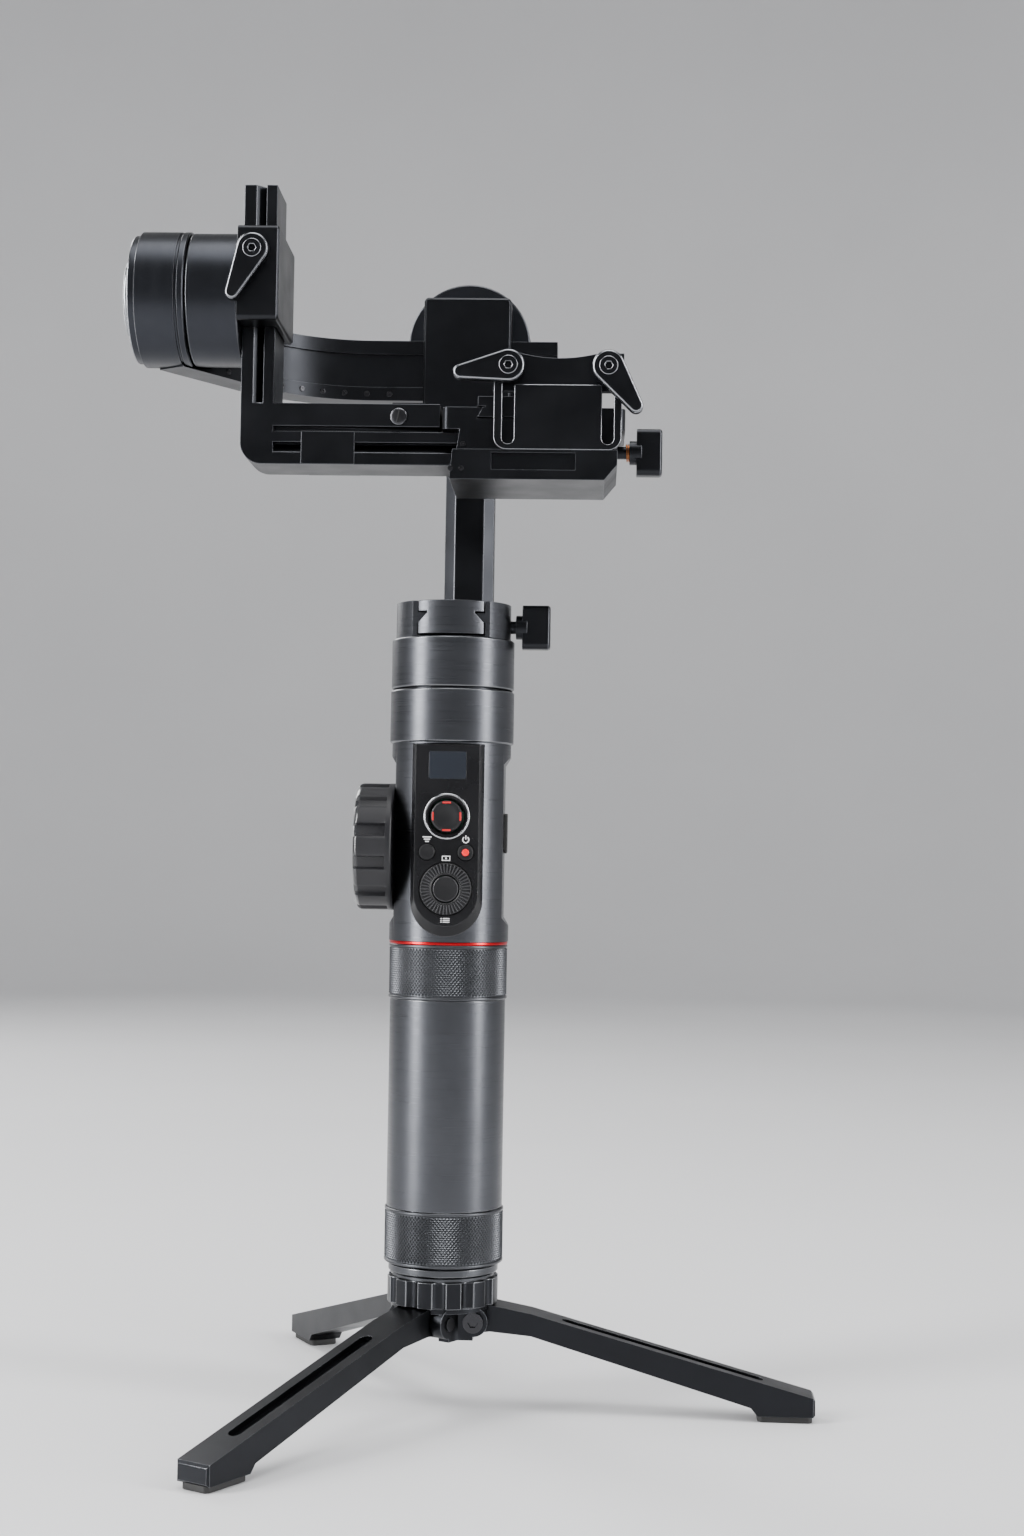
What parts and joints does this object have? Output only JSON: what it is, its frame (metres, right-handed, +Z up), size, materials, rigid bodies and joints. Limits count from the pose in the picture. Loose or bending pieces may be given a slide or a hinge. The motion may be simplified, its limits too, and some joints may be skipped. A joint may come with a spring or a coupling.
{
  "type": "gimbal stabilizer",
  "caption": "Handheld camera gimbal with pan, roll and tilt motors, dovetail balance arms, control handle with focus wheel, and a folding mini tripod.",
  "frame": {"origin": "on the floor under the middle of the whole object's box, standing on its open tripod", "axes": "+Z up along the handle, -Y towards the side with the control panel, -X towards the tilt motor"},
  "size_m": [0.2752, 0.2558, 0.476],
  "materials": {
    "anodised_grey": "satin anodised",
    "anodised_black": "satin black anodised",
    "knurl_grey": "knurled anodised",
    "red_anodised": "bright red anodised",
    "panel_black": "satin gloss",
    "display_glass": "dark glass",
    "silver_metal": "turned",
    "button_black": "satin",
    "wheel_black": "matte",
    "rubber_black": "matte",
    "steel": "turned",
    "winding": "enamelled wire",
    "battery_wrap": "shrink film",
    "circuit_green": "solder mask"
  },
  "bodies": {
    "handle": {"tripod_hub": "anodised_black", "leg_hinge_pins": "steel", "tripod_collar": "anodised_black", "base_ring": "anodised_grey", "battery_cap": "knurl_grey", "grip_tube": "anodised_grey", "battery_cells": "battery_wrap", "battery_holder": "battery_wrap", "upper_knurl_ring": "knurl_grey", "red_ring": "red_anodised", "handle_body": "anodised_grey", "control_panel": "panel_black", "display_window": "display_glass", "joystick_ring": "silver_metal", "main_board": "circuit_green", "focus_wheel_axle": "steel", "yaw_stator_housing": "anodised_grey", "yaw_stator_core": "winding", "yaw_bearings": "steel"},
    "leg_a": {"leg_a": "anodised_black", "foot_a": "rubber_black"},
    "leg_b": {"leg_b": "anodised_black", "foot_b": "rubber_black"},
    "leg_c": {"leg_c": "anodised_black", "foot_c": "rubber_black"},
    "focus_wheel": {"focus_wheel": "wheel_black"},
    "control_dial": {"control_dial": "button_black"},
    "dial_button": {"dial_button": "button_black"},
    "joystick_gimbal": {"joystick_gimbal": "steel"},
    "joystick": {"joystick_cap": "button_black"},
    "mode_button": {"mode_button": "button_black"},
    "power_button": {"power_button": "button_black"},
    "port_cover": {"port_cover": "rubber_black"},
    "pan_rotor": {"yaw_rotor_housing": "anodised_grey", "clamp_drum": "anodised_grey"},
    "pan_knob": {"yaw_lock_knob": "anodised_black"},
    "pan_arm": {"yaw_arm": "anodised_black", "roll_stator_housing": "anodised_black", "roll_stator_core": "winding", "roll_bearings": "steel"},
    "roll_rotor": {"roll_rotor_housing": "anodised_black", "roll_clamp": "anodised_black"},
    "roll_lever": {"roll_lever": "anodised_black"},
    "roll_arm": {"roll_arm": "anodised_black", "tilt_stator_housing": "anodised_black", "tilt_stator_core": "winding", "tilt_bearings": "steel", "tilt_end_cap": "anodised_black"},
    "tilt_rotor": {"tilt_rotor_housing": "anodised_black", "tilt_clamp_block": "anodised_black"},
    "tilt_lever": {"tilt_lever": "anodised_black"},
    "tilt_arm": {"tilt_arm": "anodised_black"},
    "camera_base": {"camera_base": "anodised_black", "lens_bracket": "anodised_black"},
    "qr_knob": {"qr_knob": "anodised_black"},
    "camera_plate": {"camera_plate": "anodised_black"},
    "camera_screw": {"camera_screw": "steel"},
    "lens_cradle": {"lens_cradle": "anodised_black"},
    "lens_lever_left": {"lens_lever_left": "anodised_black"},
    "lens_lever_right": {"lens_lever_right": "anodised_black"}
  },
  "joints": [
    {"name": "leg_a_fold", "type": "hinge", "parent": "handle", "child": "leg_a", "pos_m": [-0.01337, -0.01293, 0.036], "axis": [0.8517, -0.524, 0], "range_deg": [0, 75]},
    {"name": "leg_b_fold", "type": "hinge", "parent": "handle", "child": "leg_b", "pos_m": [0.00643, -0.00222, 0.036], "axis": [0.0279, 0.9996, 0], "range_deg": [0, 75]},
    {"name": "leg_c_fold", "type": "hinge", "parent": "handle", "child": "leg_c", "pos_m": [-0.01274, 0.00958, 0.036], "axis": [-0.8796, -0.4756, 0], "range_deg": [0, 75]},
    {"name": "focus_wheel_turn", "type": "hinge", "parent": "handle", "child": "focus_wheel", "pos_m": [-0.02786, -0.00186, 0.2176], "axis": [1, 0, 0], "continuous": true},
    {"name": "control_dial_turn", "type": "hinge", "parent": "handle", "child": "control_dial", "pos_m": [-0.00656, -0.02586, 0.2017], "axis": [0, -1, 0], "continuous": true},
    {"name": "dial_button_press", "type": "slide", "parent": "handle", "child": "dial_button", "axis": [0, 1, 0], "range_m": [0, 0.0005], "stiffness_N_per_m": 200},
    {"name": "mode_button_press", "type": "slide", "parent": "handle", "child": "mode_button", "axis": [0, 1, 0], "range_m": [0, 0.0005], "stiffness_N_per_m": 200},
    {"name": "power_button_press", "type": "slide", "parent": "handle", "child": "power_button", "axis": [0, 1, 0], "range_m": [0, 0.0005], "stiffness_N_per_m": 200},
    {"name": "joystick_up_down", "type": "hinge", "parent": "handle", "child": "joystick_gimbal", "pos_m": [-0.00656, -0.02086, 0.2294], "axis": [1, 0, 0], "range_deg": [-5, 5], "stiffness_Nm_per_rad": 0.03},
    {"name": "joystick_left_right", "type": "hinge", "parent": "joystick_gimbal", "child": "joystick", "pos_m": [-0.00656, -0.02086, 0.2294], "axis": [0, 0, 1], "range_deg": [-5, 5], "stiffness_Nm_per_rad": 0.03},
    {"name": "port_cover_open", "type": "hinge", "parent": "handle", "child": "port_cover", "pos_m": [0.01519, -0.00186, 0.2161], "axis": [0, 1, 0], "range_deg": [0, 110]},
    {"name": "pan_turn", "type": "hinge", "parent": "handle", "child": "pan_rotor", "pos_m": [-0.00656, -0.00186, 0.2792], "axis": [0, 0, 1], "continuous": true},
    {"name": "pan_knob_turn", "type": "hinge", "parent": "pan_rotor", "child": "pan_knob", "pos_m": [0.01594, -0.00186, 0.3043], "axis": [1, 0, 0], "range_deg": [0, 360]},
    {"name": "pan_arm_slide", "type": "slide", "parent": "pan_rotor", "child": "pan_arm", "axis": [0, 1, 0], "range_m": [-0.02, 0.025]},
    {"name": "roll_turn", "type": "hinge", "parent": "pan_arm", "child": "roll_rotor", "pos_m": [-0.00656, 0.07144, 0.433], "axis": [0, 1, 0], "range_deg": [-60, 240]},
    {"name": "roll_lever_turn", "type": "hinge", "parent": "roll_rotor", "child": "roll_lever", "pos_m": [-0.00656, 0.06504, 0.39995], "axis": [0, 0, -1], "range_deg": [0, 120]},
    {"name": "roll_arm_slide", "type": "slide", "parent": "roll_rotor", "child": "roll_arm", "axis": [1, 0, 0], "range_m": [-0.019, 0.013]},
    {"name": "tilt_turn", "type": "hinge", "parent": "roll_arm", "child": "tilt_rotor", "pos_m": [-0.09106, -0.00186, 0.433], "axis": [1, 0, 0], "range_deg": [-65, 32]},
    {"name": "tilt_lever_turn", "type": "hinge", "parent": "tilt_rotor", "child": "tilt_lever", "pos_m": [-0.08466, -0.02846, 0.4461], "axis": [0, -1, 0], "range_deg": [0, 180]},
    {"name": "tilt_arm_slide", "type": "slide", "parent": "tilt_rotor", "child": "tilt_arm", "axis": [0, 0, 1], "range_m": [-0.018, 0.025]},
    {"name": "camera_base_slide", "type": "slide", "parent": "tilt_arm", "child": "camera_base", "axis": [1, 0, 0], "range_m": [0, 0.015]},
    {"name": "qr_knob_turn", "type": "hinge", "parent": "camera_base", "child": "qr_knob", "pos_m": [0.05944, -0.00186, 0.3738], "axis": [1, 0, 0], "range_deg": [0, 360]},
    {"name": "camera_plate_slide", "type": "slide", "parent": "camera_base", "child": "camera_plate", "axis": [0, 1, 0], "range_m": [0, 0.02]},
    {"name": "camera_screw_turn", "type": "hinge", "parent": "camera_plate", "child": "camera_screw", "pos_m": [0.02544, 0.00414, 0.392], "axis": [0, 0, 1], "continuous": true},
    {"name": "lens_cradle_slide", "type": "slide", "parent": "camera_base", "child": "lens_cradle", "axis": [0, 0, -1], "range_m": [0, 0.022]},
    {"name": "lens_lever_left_turn", "type": "hinge", "parent": "lens_cradle", "child": "lens_lever_left", "pos_m": [0.01454, -0.03186, 0.401], "axis": [0, -1, 0], "range_deg": [0, 120]},
    {"name": "lens_lever_right_turn", "type": "hinge", "parent": "lens_cradle", "child": "lens_lever_right", "pos_m": [0.05264, -0.03186, 0.401], "axis": [0, -1, 0], "range_deg": [0, 120]}
  ]
}
